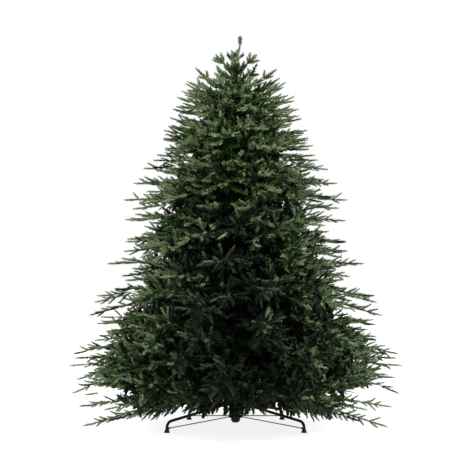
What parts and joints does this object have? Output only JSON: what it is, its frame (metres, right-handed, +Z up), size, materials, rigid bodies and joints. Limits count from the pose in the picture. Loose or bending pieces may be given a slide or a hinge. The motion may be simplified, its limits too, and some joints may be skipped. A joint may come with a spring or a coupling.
{
  "type": "artificial christmas tree",
  "caption": "Undecorated artificial fir christmas tree, a dense cone of dark green needle tips on a steel pole in a low folding-leg style black floor stand.",
  "frame": {"origin": "centre of the footprint on the floor, directly under the pole", "axes": "+Z up along the pole to the tip of the tree; the front of the tree faces -Y and +X is to its right"},
  "size_m": [1.7429, 1.7772, 2.1],
  "materials": {
    "needles": "matt moulded and cut plastic needles, dark green",
    "bough_wrap": "wire boughs wrapped in dull brown-green tape",
    "pole": "dark green satin enamel",
    "stand": "black satin powder coat",
    "foot_caps": "matt black rubber"
  },
  "bodies": {
    "root": {"bough_1": "bough_wrap", "bough_2": "bough_wrap", "bough_3": "bough_wrap", "bough_4": "bough_wrap", "bough_5": "bough_wrap", "bough_6": "bough_wrap", "mass_1_1": "needles", "mass_1_2": "needles", "mass_1_3": "needles", "mass_1_4": "needles", "mass_1_5": "needles", "mass_1_6": "needles", "mass_2_1": "needles", "mass_2_2": "needles", "mass_2_3": "needles", "mass_2_4": "needles", "mass_2_5": "needles", "mass_2_6": "needles", "mass_3_1": "needles", "mass_3_2": "needles", "mass_3_3": "needles", "mass_3_4": "needles", "mass_3_5": "needles", "mass_3_6": "needles", "mass_4_1": "needles", "mass_4_2": "needles", "mass_4_3": "needles", "mass_4_4": "needles", "mass_5_1": "needles", "mass_5_2": "needles", "mass_5_3": "needles", "mass_5_4": "needles", "mass_6_1": "needles", "mass_6_2": "needles", "mass_6_3": "needles", "mass_6_4": "needles", "mass_7_1": "needles", "mass_7_2": "needles", "mass_7_3": "needles", "mass_7_4": "needles", "mass_top": "needles", "pole": "pole", "stand_brace_1": "stand", "stand_brace_2": "stand", "stand_brace_3": "stand", "stand_brace_4": "stand", "stand_foot_1": "foot_caps", "stand_foot_2": "foot_caps", "stand_foot_3": "foot_caps", "stand_foot_4": "foot_caps", "stand_hub": "stand", "stand_leg_1": "stand", "stand_leg_2": "stand", "stand_leg_3": "stand", "stand_leg_4": "stand"}
  },
  "joints": []
}
